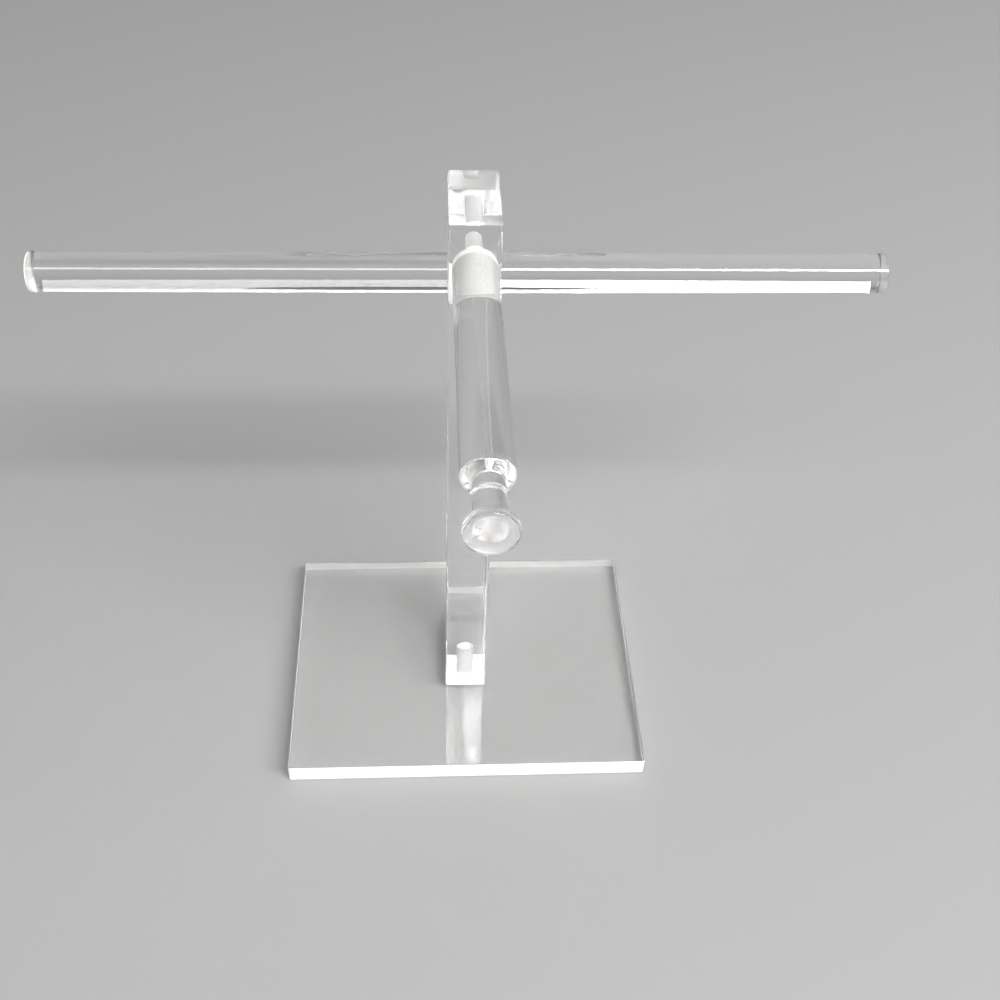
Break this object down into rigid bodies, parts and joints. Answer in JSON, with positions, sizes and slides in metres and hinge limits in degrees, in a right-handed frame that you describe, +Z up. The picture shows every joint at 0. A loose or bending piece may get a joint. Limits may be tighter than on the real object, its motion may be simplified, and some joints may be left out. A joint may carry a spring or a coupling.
{
  "type": "eyeglasses display stand",
  "caption": "Clear countertop display stand for a pair of eyeglasses: base plate, rectangular upright, cross rod for the temples and a forward nose peg with a necked end.",
  "frame": {"origin": "on the surface the stand rests on, below the middle of the whole stand's bounding box", "axes": "+Z up, -Y towards the front where the nose peg points, +X along the cross rod to the right of a person facing the front"},
  "size_m": [0.168, 0.1146, 0.1403],
  "materials": {
    "acrylic": "polished clear cast acrylic, frosted where it is sawn, drilled or tapped",
    "nylon": "natural nylon, moulded thread",
    "screw_steel": "zinc plated"
  },
  "bodies": {
    "base": {"base_plate": "acrylic"},
    "upright": {"upright_bar": "acrylic", "nose_stud": "nylon", "base_screw": "screw_steel"},
    "rod": {"cross_rod": "acrylic"},
    "peg": {"nose_peg": "acrylic"}
  },
  "joints": [
    {"name": "upright_swivel", "type": "hinge", "parent": "base", "child": "upright", "pos_m": [0.0016, 0.0233, 0.0053], "axis": [0, 0, 1], "continuous": true},
    {"name": "cross_rod_slide", "type": "slide", "parent": "upright", "child": "rod", "axis": [1, 0, 0], "range_m": [-0.0774, 0.0806]},
    {"name": "nose_peg_turn", "type": "hinge", "parent": "upright", "child": "peg", "pos_m": [0.0016, 0.013, 0.1315], "axis": [0, -1, 0], "continuous": true}
  ]
}
